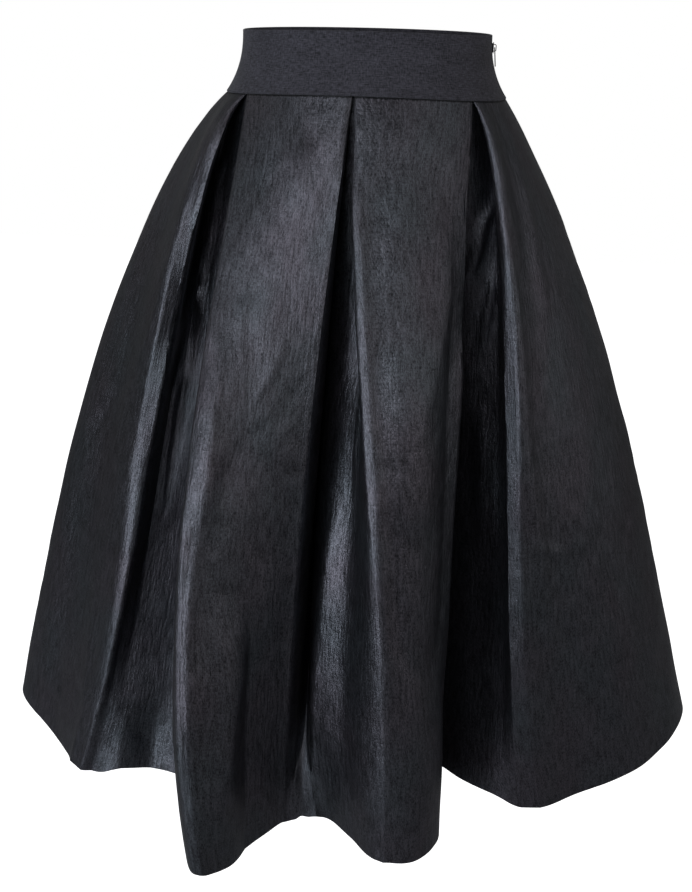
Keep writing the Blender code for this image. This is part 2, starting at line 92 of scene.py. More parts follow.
# %% The lines of the front, from the right side seam to the left one
FOLD_COLUMNS = ("name", "kind", "at", "hem", "drop", "early", "late", "flick")
FOLDS = (
    ("right_side_seam", "panel", -90, (-388, -57), 0, (-9, 0), (11, 0), -4),
    ("right_flare", "panel", -72, (-333, -112), 0, (-7, 0), (12, 0), -4),
    ("right_pleat_side_edge", "edge_in", -PLEAT_AT, (-271, -173), -3, (0, 0), (20, 0), -11),
    ("right_pleat_side_fold", "fold_in", -PLEAT_AT, (-236, -183), -17, (0, 30), (10, 20), 0),
    ("right_pleat_underlay", "underlay", -PLEAT_AT, (-200, -170), -20, (0, 30), (0, 20), 0),
    ("right_pleat_front_fold", "fold_out", -PLEAT_AT, (-162, -168), -18, (0, 30), (0, 20), 0),
    ("right_pleat_return", "return_out", -PLEAT_AT, (-136, -272), 8, (-2, 12), (-18, 0), 0),
    ("right_pleat_front_edge", "edge_out", -PLEAT_AT, (-112, -321), 20, (-8, 10), (-20, 0), 0),
    ("front_right_bend", "panel", -36, (-87, -290), 15, (0, 0), (-6, 0), 0),
    ("front_right_flat", "panel", -18, (-69, -233), 0, (0, 0), (-4, 0), 0),
    ("centre_pleat_right_edge", "edge_in", 0, (-45, -209), -7, (-2, 0), (1, 0), 0),
    ("centre_pleat_right_fold", "fold_in", 0, (-31, -203), -13, (0, 35), (0, 45), 0),
    ("centre_pleat_underlay", "underlay", 0, (-8, -198), -13, (0, 30), (-16, 10), 0),
    ("centre_pleat_left_fold", "fold_out", 0, (28, -226), -6, (0, 25), (-14, 0), 0),
    ("centre_pleat_left_edge", "edge_out", 0, (66, -260), 3, (-10, 0), (3, 0), 0),
    ("front_left_flat", "panel", 18, (95, -253), 3, (4, 0), (0, 0), 0),
    ("front_left_bend", "panel", 36, (117, -218), -3, (4, 0), (0, 0), 0),
    ("left_pleat_front_edge", "edge_in", PLEAT_AT, (113, -168), -8, (4, 0), (0, 0), 0),
    ("left_pleat_front_fold", "fold_in", PLEAT_AT, (104, -96), -22, (0, 30), (0, 25), 0),
    ("left_pleat_underlay", "underlay", PLEAT_AT, (140, -122), -21, (0, 30), (0, 25), 0),
    ("left_pleat_side_fold", "fold_out", PLEAT_AT, (178, -140), -15, (0, 20), (0, 10), 0),
    ("left_pleat_side_edge", "edge_out", PLEAT_AT, (211, -147), -3, (7, 0), (-16, 0), 8),
    ("left_flare_front", "panel", 64, (266, -112), 0, (6, 0), (-10, 0), 0),
    ("left_flare_side", "panel", 78, (338, -66), 0, (0, 0), (-14, 0), 0),
    ("left_side_seam", "panel", 90, (390, 56), 0, (-1, 0), (-15, 0), 0),
)
print(len(FOLDS), "lines on the front, and the same folds turned half round on the back")

# %% Where each kind of line lies on the folded seam
TURN = LAYER_STEP / 2
EDGE = PIECE_GAP / 2 + SOLID_WALL / 2 * math.sqrt(2) + TURN
KIND_STATIONS = {  # shift along the hem, shift along the seam, layer
    "panel": ((0, 0, 0),),
    "edge_in": ((-TURN_RUN, -EDGE, 0), (0, -EDGE + TURN, 0.5), (TURN_RUN, -EDGE, 1)),
    "fold_in": ((-TURN_RUN, -PLEAT_DEPTH, 1), (0, -PLEAT_DEPTH - TURN, 1.5), (TURN_RUN, -PLEAT_DEPTH, 2)),
    "underlay": ((0, 0, 2),),
    "fold_out": ((-TURN_RUN, PLEAT_DEPTH, 2), (0, PLEAT_DEPTH + TURN, 1.5), (TURN_RUN, PLEAT_DEPTH, 1)),
    "return_out": ((0, PLEAT_DEPTH / 2, 1),),
    "edge_out": ((-TURN_RUN, EDGE, 1), (0, EDGE - TURN, 0.5), (TURN_RUN, EDGE, 0)),
}


def ellipse_point(half, angle):
    return np.stack([half[0] * np.sin(angle), -half[1] * np.cos(angle)], axis=-1)


def fold_rows():
    """The front's lines, then the back's: the same folds turned half round, between the same side seams."""
    front = [dict(zip(FOLD_COLUMNS, row)) for row in FOLDS]
    back = []
    for row in front[1:-1]:
        turned = dict(row, name="back_" + row["name"], at=row["at"] + 180, flick=-row["flick"])
        for column in ("hem", "early", "late"):
            x, y = row[column]
            turned[column] = (-x, -y * BACK_DEPTH_SHARE)
        back.append(turned)
    return front + back + [dict(front[0], at=front[0]["at"] + 360)]


def smooth_through(knots, values, at):
    """A curve through the values at the knots of a closed ring, with no kink, read at `at`."""
    span = knots[-1] - knots[0]
    knots = np.concatenate([[knots[-2] - span], knots, [knots[1] + span]])
    values = np.vstack([values[-2:-1], values, values[1:2]])
    widths = np.diff(knots)[:, None]
    rates = np.diff(values, axis=0) / widths
    slopes = (rates[:-1] * widths[1:] + rates[1:] * widths[:-1]) / (widths[:-1] + widths[1:])
    knots, values = knots[1:-1], values[1:-1]
    index = np.clip(np.searchsorted(knots, at, side="right") - 1, 0, len(knots) - 2)
    width = (knots[index + 1] - knots[index])[:, None]
    u = (at - knots[index])[:, None] / width
    start = values[index] * (1 + 2 * u) * (1 - u) ** 2 + slopes[index] * width * u * (1 - u) ** 2
    end = values[index + 1] * u**2 * (3 - 2 * u) - slopes[index + 1] * width * u**2 * (1 - u)
    return start + end


# %% [markdown]
# ## A closer mesh of the same cloth
# The solids need few faces, but light shows every facet, so the cloth is sampled again: a column every few
# millimetres of hem and more of them round each turned edge. The rule is the same, so the fine cloth lies
# where its solid does.

# %% Sample the cloth
COLUMN_STEP = 0.0042  # along the hem
TURN_STEPS = 3  # columns in each half of a turned edge
SEAM_ROWS = 12
LOWER_ROWS = 126
SEAM_REACH = 0.05  # the share of the length that the close rows under the band cover
DRAPE_STEPS = 401  # points down each line while its fall is worked out
SEAM_STEPS = 2881  # points round one and a half turns of the seam
LEVELS = np.concatenate(
    [np.linspace(0, SEAM_REACH, SEAM_ROWS, endpoint=False), np.linspace(SEAM_REACH, 1, LOWER_ROWS)]
)
ROWS = fold_rows()
HEMS = np.array([row["hem"] for row in ROWS]) / 1000
KNOTS = np.concatenate([[0], np.cumsum(np.linalg.norm(np.diff(HEMS, axis=0), axis=1))])
BOWS = np.array([[*row["early"], *row["late"], row["flick"], row["drop"]] for row in ROWS]) / 1000
LINE_AT = {row["name"]: KNOTS[number] for number, row in enumerate(ROWS[:-1])}
FINE_ANGLES = np.linspace(-math.pi, 2 * math.pi, SEAM_STEPS)
FINE_SEAM = ellipse_point(SEAM_HALF, FINE_ANGLES)
FINE_LENGTHS = np.concatenate([[0], np.cumsum(np.linalg.norm(np.diff(FINE_SEAM, axis=0), axis=1))])
FINE_LENGTHS -= np.interp(0, FINE_ANGLES, FINE_LENGTHS)


def seam_points(at, along, layer):
    """Points of the folded cloth on the seam: `along` metres past the angles `at`, `layer` layers inside."""
    lengths = np.interp(np.radians(at), FINE_ANGLES, FINE_LENGTHS) + along
    angles = np.interp(lengths, FINE_LENGTHS, FINE_ANGLES)
    outward = ellipse_point((1 / SEAM_HALF[0], 1 / SEAM_HALF[1]), angles)
    outward /= np.linalg.norm(outward, axis=-1, keepdims=True)
    return ellipse_point(SEAM_HALF, angles) - outward * (layer * LAYER_STEP)[:, None]


def columns():
    """Every column's place along the hem, and its (angle, distance, layer) on the seam."""
    marks, starts = [], []
    for number, row in enumerate(ROWS):
        if row["name"].endswith("side_seam"):
            starts.append(len(marks))
        for shift, along, layer in KIND_STATIONS[row["kind"]]:
            marks.append((KNOTS[number] + shift, row["at"], along, layer))
    marks = np.array(marks)
    reach, index_of = [], {}
    for number, (here, there) in enumerate(zip(marks, marks[1:])):
        index_of[number] = len(reach)
        turning = abs((there[3] - here[3])) == 0.5
        steps = TURN_STEPS if turning else max(2, math.ceil((there[0] - here[0]) / COLUMN_STEP))
        reach += list(np.linspace(number, number + 1, steps, endpoint=False))
    index_of[len(marks) - 1] = len(reach)
    reach.append(len(marks) - 1)
    at_mark = np.array(reach)
    filled = [np.interp(at_mark, np.arange(len(marks)), marks[:, column]) for column in range(4)]
    return filled, [index_of[start] for start in starts]


def drape(seam, hem, bow, levels):
    """The cloth's middle surface: every column keeps the cloth's own length on its way down."""
    fine = np.linspace(0, 1, DRAPE_STEPS)[:, None, None]
    spread = fine * (1 + EARLY_SPREAD * (1 - fine))
    early = BOW_GAIN * fine * (1 - fine) ** 2
    late = BOW_GAIN * fine**2 * (1 - fine)
    flick = fine / FLICK_PEAK * np.exp(1 - fine / FLICK_PEAK) * (1 - fine)
    plan = seam + (hem - seam) * spread + bow[:, 0:2] * early + bow[:, 2:4] * late
    plan = plan + np.stack([bow[:, 4], 0 * bow[:, 4]], axis=-1) * flick
    run = np.linalg.norm(np.diff(plan, axis=0), axis=2)
    step = (CLOTH_LENGTH + bow[:, 5]) / (len(fine) - 1)
    fall = np.sqrt(np.maximum(step**2 - run**2, (LEAST_FALL * step) ** 2))
    depth = np.vstack([np.zeros((1, fall.shape[1])), np.cumsum(fall, axis=0)])
    whole = np.concatenate([plan, SEAM_Z - PIECE_GAP / 2 - depth[..., None]], axis=2)
    place = levels * (len(fine) - 1)
    low = np.minimum(place.astype(int), len(fine) - 2)
    share = (place - low)[:, None, None]
    return whole[low] * (1 - share) + whole[low + 1] * share


(REACH, at, along, layer), STARTS = columns()
base = drape(
    seam_points(at, along, layer),
    smooth_through(KNOTS, HEMS, REACH),
    smooth_through(KNOTS, BOWS, REACH),
    LEVELS,
)
seam_angle = np.arctan2(base[0, :, 0] / SEAM_HALF[0], -base[0, :, 1] / SEAM_HALF[1])
lift = FRONT_LIFT * np.maximum(0, np.cos(seam_angle)) ** 2
base[..., 2] += lift[None, :] * (np.maximum(0, 1 - LEVELS / LIFT_REACH) ** 2)[:, None]
tuck = SEAM_TUCK * np.clip(layer - 1, 0, 1)
base[..., 2] += tuck[None, :] * np.maximum(0, 1 - LEVELS / TUCK_REACH)[:, None]
print("cloth grid:", base.shape[0], "rows by", base.shape[1], "columns")

# %% [markdown]
# ## Creases
# Stiff taffeta keeps what happened to it: a pressed line beside a pleat, a dent where a hand held it, soft
# buckles where a fold pulls. Each is a row again: the path it follows down the cloth, how far it stands out
# or sinks, and how wide it is. A sharp one has a kinked top like a pressed edge, a soft one a round top.

# %% Press the panels flat between their pleat edges
PRESSED_COLUMNS = ("start", "end", "rise", "begin", "until", "fade")
PRESSED = (
    # (line, mm past it), (line, mm past it), mm that the middle stands out at the top and lower down,
    # share of the way down where it begins and is whole, where it ends at the start and at the end, fade
    (("right_pleat_front_edge", 7), ("centre_pleat_right_edge", -2),
     (8.0, 3.0), (0.01, 0.12), (0.66, 0.44), 0.16),
    (("centre_pleat_left_edge", 7), ("left_pleat_front_edge", -7),
     (5.0, 5.0), (0.01, 0.15), (0.60, 0.60), 0.30),
    (("right_pleat_side_edge", -24), ("right_pleat_side_edge", 1),
     (0.0, 0.0), (0.04, 0.14), (0.42, 0.42), 0.16),
    (("right_pleat_side_fold", -12), ("right_pleat_underlay", 14),
     (0.0, 0.0), (0.30, 0.45), (0.84, 0.84), 0.12),
    (("right_pleat_front_edge", 20), ("centre_pleat_right_edge", -2),
     (1.0, 1.0), (0.40, 0.50), (0.62, 0.62), 0.12),
    (("right_pleat_front_edge", -3), ("right_pleat_front_edge", 21),
     (0.9, 0.9), (0.30, 0.42), (0.58, 0.58), 0.10),
    (("right_pleat_front_edge", -2), ("right_pleat_front_edge", 8),
     (0.3, 0.3), (0.56, 0.66), (1.0, 1.0), 1.0),
    (("front_right_flat", -26), ("centre_pleat_right_edge", -1),
     (0.0, 0.0), (0.50, 0.64), (1.0, 1.0), 1.0),
    (("centre_pleat_right_edge", 2), ("centre_pleat_underlay", -2),
     (0.0, 0.0), (0.86, 0.97), (1.0, 1.0), 1.0),
    (("left_pleat_side_edge", -10), ("left_pleat_side_edge", 16),
     (0.0, 0.0), (0.24, 0.36), (1.0, 1.0), 1.0),
)
MOST_PRESSED = 0.010  # for one row: rows that overlap add up to more
RISE_SETTLES = 0.30  # the share of the way down where a panel has its lower roundness


def pressed(grid):
    """The cloth with its panels pulled flat between two lines, easing out where they are no longer held."""
    made = grid.copy()
    for row in PRESSED:
        panel = dict(zip(PRESSED_COLUMNS, row))
        for prefix in ("", "back_"):
            ends = (panel["start"], panel["end"])
            start, end = (LINE_AT[prefix + line] + shift / 1000 for line, shift in ends)
            inside = np.flatnonzero((REACH >= start - 1e-9) & (REACH <= end + 1e-9))
            share = ((REACH[inside] - REACH[inside[0]]) / (REACH[inside[-1]] - REACH[inside[0]]))[None, :]
            first, last = made[:, inside[:1]], made[:, inside[-1:]]
            chord = last - first
            outward = np.stack([chord[..., 1], -chord[..., 0], 0 * chord[..., 0]], axis=-1)
            outward /= np.linalg.norm(outward, axis=2, keepdims=True)
            height = np.interp(LEVELS, (0, RISE_SETTLES), panel["rise"])[:, None] / 1000
            rise = height * 4 * share * (1 - share)
            target = first + chord * share[..., None] + outward * rise[..., None]
            until = panel["until"][0] + (panel["until"][1] - panel["until"][0]) * share
            level = LEVELS[:, None]
            weight = eased(level, *panel["begin"]) * (1 - eased(level, until, until + panel["fade"]))
            move = (target - made[:, inside]) * weight[..., None]
            size = np.linalg.norm(move, axis=2, keepdims=True)
            made[:, inside] += move * np.minimum(1, MOST_PRESSED / np.maximum(size, 1e-9))
    return made


def eased(value, low, high):
    share = np.clip((value - low) / (high - low), 0, 1)
    return share * share * (3 - 2 * share)


folded = base
base = pressed(folded)
print("pressing moved the cloth by up to", round(float(np.abs(base - folded).max()) * 1000, 1), "mm")

# %% Creases of the front, and how a surface is pushed along its own normal
CREASE_COLUMNS = ("path", "height", "width", "fade", "form")
CREASES = (
    # (line, (mm past it on the hem, share of the way down), ..., next line, ...),
    # then height in mm, width in mm, fade, form
    (("right_pleat_front_edge", (24, 0.30), (21, 0.42), (20, 0.60)), 7.5, (23, 20), 0.12, "tent"),
    (("right_pleat_front_edge", (16, 0.50), (10, 0.64), (8, 1.00)), 2.6, (6, 12), 0.12, "tent"),
    (("centre_pleat_underlay", (14, 0.70), (6, 0.85), (-4, 1.00)), 3.5, 9, 0.10, "sharp"),
    (("right_pleat_side_edge", (-30, 0.82), (-22, 1.00)), 3.5, 9, 0.10, "sharp"),
    (("centre_pleat_left_fold", (-20, 0.50), (-27, 0.60), "centre_pleat_underlay", (10, 0.80),
      (-4, 1.00)), 4.5, 11, 0.10, "sharp"),
    (("centre_pleat_left_edge", (-1, 0.02), (-4, 0.31), (-2, 0.40), (-3, 0.50), (1, 0.57), (0, 1.00)),
     1.4, 4, 0.06, "sharp"),
    (("centre_pleat_right_edge", (-1, 0.02), (-2, 0.50), (-2, 1.00)), 1.3, 4, 0.06, "sharp"),
    (("right_pleat_side_edge", (-8, 0.03), (-12, 0.11), (-27, 0.20), (-36, 0.30), (-57, 0.43),
      (-66, 0.57), (-60, 0.66), (-47, 0.77), (-32, 0.90), (-25, 1.00)), 0.9, 5, 0.05, "sharp"),
    (("right_pleat_side_edge", (1, 0.02), (1, 1.00)), 0.9, 4, 0.05, "sharp"),
    (("right_pleat_side_edge", (0, 0.02), (0, 0.20)), 5.0, (20, 8), 0.05, "tent"),
    (("right_pleat_side_edge", (0, 0.20), (0, 0.40)), -6.5, (24, 12), 0.08, "tent"),
    (("right_pleat_side_edge", (-2, 0.52), (-2, 1.00)), 6.5, (26, 8), 0.12, "tent"),
    (("right_pleat_underlay", (2, 0.86), (0, 1.00)), -7.5, (70, 26), 0.10, "tent"),
    (("front_right_flat", (-4, 0.03), (-8, 0.16)), 3.5, (40, 40), 0.06, "tent"),
    (("centre_pleat_left_fold", (-2, 0.32), (-2, 0.52)), 6.0, (30, 30), 0.08, "tent"),
    (("left_pleat_underlay", (12, 0.40), (14, 0.66)), 5.0, (16, 34), 0.10, "tent"),
    (("left_pleat_front_edge", (-24, 0.12), "front_left_bend", (16, 0.25), "front_left_flat", (14, 0.40),
      (6, 0.48), (16, 0.58)), 5.0, (50, 40), 0.10, "tent"),
    (("left_pleat_front_edge", (0, 0.02), (0, 1.00)), 1.0, 5, 0.05, "sharp"),
    (("left_pleat_front_edge", (0, 0.03), (0, 0.36)), -7.0, (28, 8), 0.10, "tent"),
    (("right_pleat_side_fold", (14, 0.07), (17, 0.17), (15, 0.24), (21, 0.32)), 7.0, (6, 11), 0.04, "tent"),
    (("left_pleat_side_edge", (-20, 0.10), "left_pleat_underlay", (16, 0.16), (4, 0.21),
      "left_pleat_front_fold", (26, 0.26)), 5.0, (12, 9), 0.05, "tent"),
    (("left_pleat_side_fold", (-8, 0.20), (-18, 0.27), "left_pleat_underlay", (6, 0.36)),
     4.5, (12, 10), 0.06, "tent"),
    (("left_pleat_side_edge", (5, 0.10), (8, 0.17), (20, 0.25), (26, 0.45), (36, 0.56), (46, 0.72)),
     2.6, 9, 0.10, "soft"),
    (("left_flare_side", (-28, 0.03), "left_flare_front", (38, 0.14), (28, 0.21), (20, 0.34)),
     2.0, 16, 0.10, "soft"),
    (("front_right_bend", (34, 0.66), (14, 0.76), (0, 0.86), (-8, 0.97)), 4.0, (24, 19), 0.10, "tent"),
    (("front_right_flat", (18, 0.34), (2, 0.40), "front_right_bend", (12, 0.44), (-8, 0.51),
      (-20, 0.60)), -0.7, 11, 0.04, "soft"),
    (("front_right_flat", (0, 0.29), (-20, 0.35), "front_right_bend", (14, 0.40)), 1.2, 6, 0.03, "soft"),
    (("front_right_bend", (20, 0.22), (8, 0.27), (2, 0.33)), -1.0, 5, 0.03, "soft"),
    (("front_left_flat", (-34, 0.06), (-30, 0.20), (-26, 0.34)), 1.6, 12, 0.08, "soft"),
    (("front_left_flat", (-10, 0.30), (-20, 0.37), (-16, 0.44)), -1.0, 6, 0.04, "soft"),
    (("left_flare_front", (-34, 0.59), (6, 0.63)), 1.6, 12, 0.02, "soft"),
    (("right_flare", (26, 0.40), (-6, 0.46), (-26, 0.53)), -1.4, 12, 0.04, "soft"),
)
CREASE_FORMS = {
    "sharp": lambda distance: np.exp(-np.abs(distance)),
    "soft": lambda distance: np.exp(-(distance**2)),
    "tent": lambda distance: np.maximum(0, 1 - np.abs(distance)),
}


def surface_normals(grid, closed=True):
    """Unit normals of a grid of points, outwards, from its neighbours in both directions."""
    across = np.gradient(grid, axis=1)
    if closed:
        across[:, 0] = across[:, -1] = (grid[:, 1] - grid[:, -2]) / 2
    normal = np.cross(across, -np.gradient(grid, axis=0))
    return normal / np.maximum(np.linalg.norm(normal, axis=2, keepdims=True), 1e-12)


def crease_points(path):
    """(line, mm past it, share of the way down) for each point of a path that names a line only once."""
    points = []
    for part in path:
        if isinstance(part, str):
            line = part
        else:
            points.append((line, *part))
    return points


def crease_relief(names):
    """How far the creases push every point of the cloth out, in metres, with `names` of the lines' places."""
    relief = np.zeros(base.shape[:2])
    for row in CREASES:
        crease = dict(zip(CREASE_COLUMNS, row))
        points = crease_points(crease["path"])
        levels = [point[2] for point in points]
        places = [names[line] + shift / 1000 for line, shift, _ in points]
        centre = np.interp(LEVELS, levels, places)[:, None]
        past = REACH[None, :] - centre
        before, after = np.broadcast_to(crease["width"], 2) / 1000
        distance = past / np.where(past < 0, before, after)
        profile = CREASE_FORMS[crease["form"]](distance)
        fade = crease["fade"]
        window = eased(LEVELS, levels[0] - 1e-6, levels[0] + fade)
        window = window * (1 - eased(LEVELS, levels[-1] - fade, levels[-1] + 1e-6))
        if levels[-1] >= 1:
            window = eased(LEVELS, levels[0] - 1e-6, levels[0] + fade)
        relief += crease["height"] / 1000 * profile * window[:, None]
    return relief


front_relief = crease_relief(LINE_AT)
back_relief = crease_relief({name: LINE_AT.get("back_" + name, place) for name, place in LINE_AT.items()})
is_back = REACH > LINE_AT["left_side_seam"]
relief = np.where(is_back[None, :], back_relief, front_relief)
print("creases reach", round(float(np.abs(relief).max()) * 1000, 1), "mm")

# %% Soft buckles that no row names
SETTLE_REACH = 0.12  # the share of the length over which buckles grow below the band
BUCKLE_HEIGHT = 0.0011
BUCKLE_SIZE = (0.034, 0.034, 0.080)  # how far apart they are, across and down
CRUMPLE_HEIGHT = 0.00045
CRUMPLE_SIZE = (0.011, 0.011, 0.017)
PATCH_SIZE = (0.11, 0.11, 0.16)  # how far apart the crumpled patches are
PATCH_EDGE = (-0.05, 0.35)  # where in the noise a patch begins and is whole
BUCKLE_SEED, PATCH_SEED, CRUMPLE_SEED = 3.1, 11.7, 27.3


def buckles(grid, size, seed):
    """Smooth noise from -1 to 1 at every point, stretched to a size along each axis."""
    points = grid.reshape(-1, 3) / np.array(size) + seed
    return np.array([noise.noise(Vector(point)) for point in points]).reshape(grid.shape[:2])


settled = eased(LEVELS, 0.0, SETTLE_REACH)[:, None]
relief = relief + settled * BUCKLE_HEIGHT * buckles(base, BUCKLE_SIZE, BUCKLE_SEED)
patch = eased(buckles(base, PATCH_SIZE, PATCH_SEED), *PATCH_EDGE)
relief = relief + settled * CRUMPLE_HEIGHT * patch * buckles(base, CRUMPLE_SIZE, CRUMPLE_SEED)
cloth = base + surface_normals(base) * relief[..., None]
cloth_normals = surface_normals(cloth)
outwards = (cloth_normals[..., :2] * cloth[..., :2]).sum(axis=2) > 0
print("share of the cloth that faces out:", round(float(outwards.mean()), 2))
print("buckles added to", cloth.shape[0] * cloth.shape[1], "points")


# %% [markdown]
# ## From points to a cloth wall
# A single surface would look like paper at the hem, so each sheet gets a back face a cloth's thickness
# behind, and a rim that joins the two. A UV map in real metres follows the threads: the weave is drawn on it
# later and runs down the folds as the real one does.

# %% Build the front and back cloth
SHARP_ANGLE = 60.0
PLAIN_INSIDE, TURNED_INSIDE = 0.5, 1.5  # walls inside the middle surface, and with the hem turned up
CLOTH_SPANS = (("skirt_front", *STARTS[:2]), ("skirt_back", *STARTS[1:3]))


def wall_mesh(name, outer, inner, uv):
    """One closed wall from two grids of points, rows running down and columns round, with its UV map."""
    rows, count = outer.shape[:2]
    points = np.vstack([outer.reshape(-1, 3), inner.reshape(-1, 3)])
    other = rows * count
    corner = (np.arange(rows - 1)[:, None] * count + np.arange(count - 1)[None, :]).reshape(-1)
    a, b, c, d = corner, corner + 1, corner + count + 1, corner + count
    faces = [np.stack([a, d, c, b], axis=1), np.stack([a, b, c, d], axis=1) + other]
    rim = list(range(count)) + [row * count + count - 1 for row in range(1, rows)]
    rim += [(rows - 1) * count + column for column in range(count - 2, -1, -1)]
    rim += [row * count for row in range(rows - 2, 0, -1)]
    rim = np.array(rim)
    following = np.roll(rim, -1)
    faces.append(np.stack([rim, following, following + other, rim + other], axis=1))
    faces = np.vstack(faces)
    mesh = bpy.data.meshes.new(name)
    mesh.from_pydata(points.tolist(), [], faces.tolist())
    layer = mesh.uv_layers.new(name="threads")
    both = np.vstack([uv.reshape(-1, 2), uv.reshape(-1, 2)])
    layer.data.foreach_set("uv", both[faces.reshape(-1)].astype(np.float32).reshape(-1))
    mesh.shade_smooth()
    mesh.set_sharp_from_angle(angle=math.radians(SHARP_ANGLE))
    return mesh


def add_piece(name, mesh):
    piece = bpy.data.objects.new(name, mesh)
    bpy.context.scene.collection.objects.link(piece)
    return piece


uv = np.stack(np.broadcast_arrays(REACH[None, :], -LEVELS[:, None] * CLOTH_LENGTH), axis=-1)
turned_up = LEVELS > 1 - HEM_TURNING / CLOTH_LENGTH
inner_wall = np.where(turned_up, TURNED_INSIDE, PLAIN_INSIDE)[:, None, None] * CLOTH_WALL
cloths = {}
for name, first, last in CLOTH_SPANS:
    part = slice(first, last + 1)
    facing = cloth_normals[:, part]
    outer = cloth[:, part] + facing * CLOTH_WALL / 2
    inner = cloth[:, part] - facing * inner_wall
    mesh = wall_mesh(name + "_cloth", outer, inner, uv[:, part])
    cloths[name] = add_piece(name + "_cloth", mesh)
    print(mesh.name, "has", 2 * len(mesh.polygons), "triangles")

# %% [markdown]
# ## The waistband
# The band is nearly straight at its top and flares more and more towards the hips. That is a rule, so
# Geometry Nodes build it: a flat grid is bent round the oval, and its height sets how wide the oval is. The
# inputs are a maker's numbers, and the node tree can be reused for any shaped band.


# %% A small kit for building node trees
class Field:
    """One socket of a node tree, so that maths on it can be written as a Python expression."""

    def __init__(self, tree, socket):
        self.tree, self.socket = tree, socket

    def math(self, operation, *others):
        node = self.tree.nodes.new("ShaderNodeMath")
        node.operation = operation
        for socket, value in zip(node.inputs, (self, *others)):
            if isinstance(value, Field):
                self.tree.links.new(value.socket, socket)
            else:
                socket.default_value = value
        return Field(self.tree, node.outputs[0])

    def swapped(self, operation, first):
        """The operation with a plain value before this field, as in 1 - field."""
        node = self.tree.nodes.new("ShaderNodeMath")
        node.operation = operation
        node.inputs[0].default_value = first
        self.tree.links.new(self.socket, node.inputs[1])
        return Field(self.tree, node.outputs[0])

    def __add__(self, other):
        return self.math("ADD", other)

    def __sub__(self, other):
        return self.math("SUBTRACT", other)

    def __mul__(self, other):
        return self.math("MULTIPLY", other)

    def __truediv__(self, other):
        return self.math("DIVIDE", other)

    def __pow__(self, other):
        return self.math("POWER", other)

    def __neg__(self):
        return self.math("MULTIPLY", -1.0)

    def __rsub__(self, other):
        return self.swapped("SUBTRACT", other)

    def __rtruediv__(self, other):
        return self.swapped("DIVIDE", other)

    __radd__ = __add__
    __rmul__ = __mul__


class Tree:
    """A node tree with one method that adds any node: its type, its settings, and its sockets' values."""

    def __init__(self, tree):
        self.tree = tree

    def node(self, kind, settings=None, inputs=None, output=0):
        node = self.tree.nodes.new(kind)
        for name, value in (settings or {}).items():
            if name == "stops":
                while len(node.color_ramp.elements) < len(value):
                    node.color_ramp.elements.new(0.5)
                for element, (place, colour) in zip(node.color_ramp.elements, value):
                    element.position, element.color = place, colour
            else:
                setattr(node, name, value)
        for name, value in (inputs or {}).items():
            if isinstance(value, Field):
                self.tree.links.new(value.socket, node.inputs[name])
            else:
                node.inputs[name].default_value = value
        return Field(self.tree, node.outputs[output])


def new_geometry_tree(name, inputs):
    """A Geometry Nodes tree with named inputs, and the fields that read them."""
    tree = bpy.data.node_groups.new(name, "GeometryNodeTree")
    tree.interface.new_socket("Geometry", in_out="INPUT", socket_type="NodeSocketGeometry")
    for label, kind in inputs:
        tree.interface.new_socket(label, in_out="INPUT", socket_type="NodeSocket" + kind)
    tree.interface.new_socket("Geometry", in_out="OUTPUT", socket_type="NodeSocketGeometry")
    entry = tree.nodes.new("NodeGroupInput")
    fields = {socket.name: Field(tree, socket) for socket in entry.outputs if socket.name}
    return Tree(tree), fields


def finish_geometry_tree(kit, geometry, material):
    real = kit.node("GeometryNodeRealizeInstances", None, {"Geometry": geometry})
    dressed = kit.node("GeometryNodeSetMaterial", None, {"Geometry": real, "Material": material})
    end = kit.tree.nodes.new("NodeGroupOutput")
    kit.tree.links.new(dressed.socket, end.inputs[0])
    return kit.tree


def grown(name, start_mesh, tree, values, more=()):
    """Runs a geometry tree on a mesh and returns the plain mesh object that comes out."""
    seed = bpy.data.objects.new(name + "_seed", start_mesh)
    bpy.context.scene.collection.objects.link(seed)
    modifier = seed.modifiers.new("growing", "NODES")
    modifier.node_group = tree
    for item in tree.interface.items_tree:
        if item.in_out == "INPUT" and item.name in values:
            modifier[item.identifier] = values[item.name]
    for kind, settings in more:
        extra = seed.modifiers.new(kind.lower(), kind)
        for key, value in settings.items():
            setattr(extra, key, value)
    bpy.context.view_layer.update()
    graph = bpy.context.evaluated_depsgraph_get()
    mesh = bpy.data.meshes.new_from_object(seed.evaluated_get(graph))
    mesh.name = name
    bpy.data.objects.remove(seed, do_unlink=True)
    return add_piece(name, mesh)


print("node kit ready")

# %% [markdown]
# ## Finishes
# Taffeta is a tight weave of fine stiff threads. From a step away it shows three things: a nearly black
# ground, a broad cool sheen where a fold faces the light, and short streaks down the cloth where thicker
# threads catch it. The sheen comes from the shader's gloss, and the streaks are a bump on the thread map.


# %% Start a material
def new_material(name):
    material = bpy.data.materials.new(name)
    material.use_nodes = True
    return material, Tree(material.node_tree), material.node_tree.nodes["Principled BSDF"]


def dress(shader, **values):
    """Sets the shader's sockets: a field is linked, and a plain value is set on the socket itself."""
    for name, value in values.items():
        socket = shader.inputs[name.replace("_", " ").title().replace("Ior", "IOR")]
        if isinstance(value, Field):
            value.tree.links.new(value.socket, socket)
        else:
            socket.default_value = value


def thread_map(kit, across, down, turn=0.0):
    """The thread map, measured in threads: `across` and `down` are the sizes of one feature in metres."""
    uv = kit.node("ShaderNodeUVMap", {"uv_map": "threads"})
    return kit.node(
        "ShaderNodeMapping",
        None,
        {"Vector": uv, "Scale": (1 / across, 1 / down, 1), "Rotation": (0, 0, math.radians(turn))},
    )


COORD_UV, COORD_OBJECT = 2, 3  # outputs of the Texture Coordinate node
MIX_COLOUR = 2  # the colour output of the Mix node


def coordinates(kit, output):
    return kit.node("ShaderNodeTexCoord", output=output)


def bump_from(kit, height, strength, distance):
    return kit.node("ShaderNodeBump", None, {"Strength": strength, "Distance": distance, "Height": height})


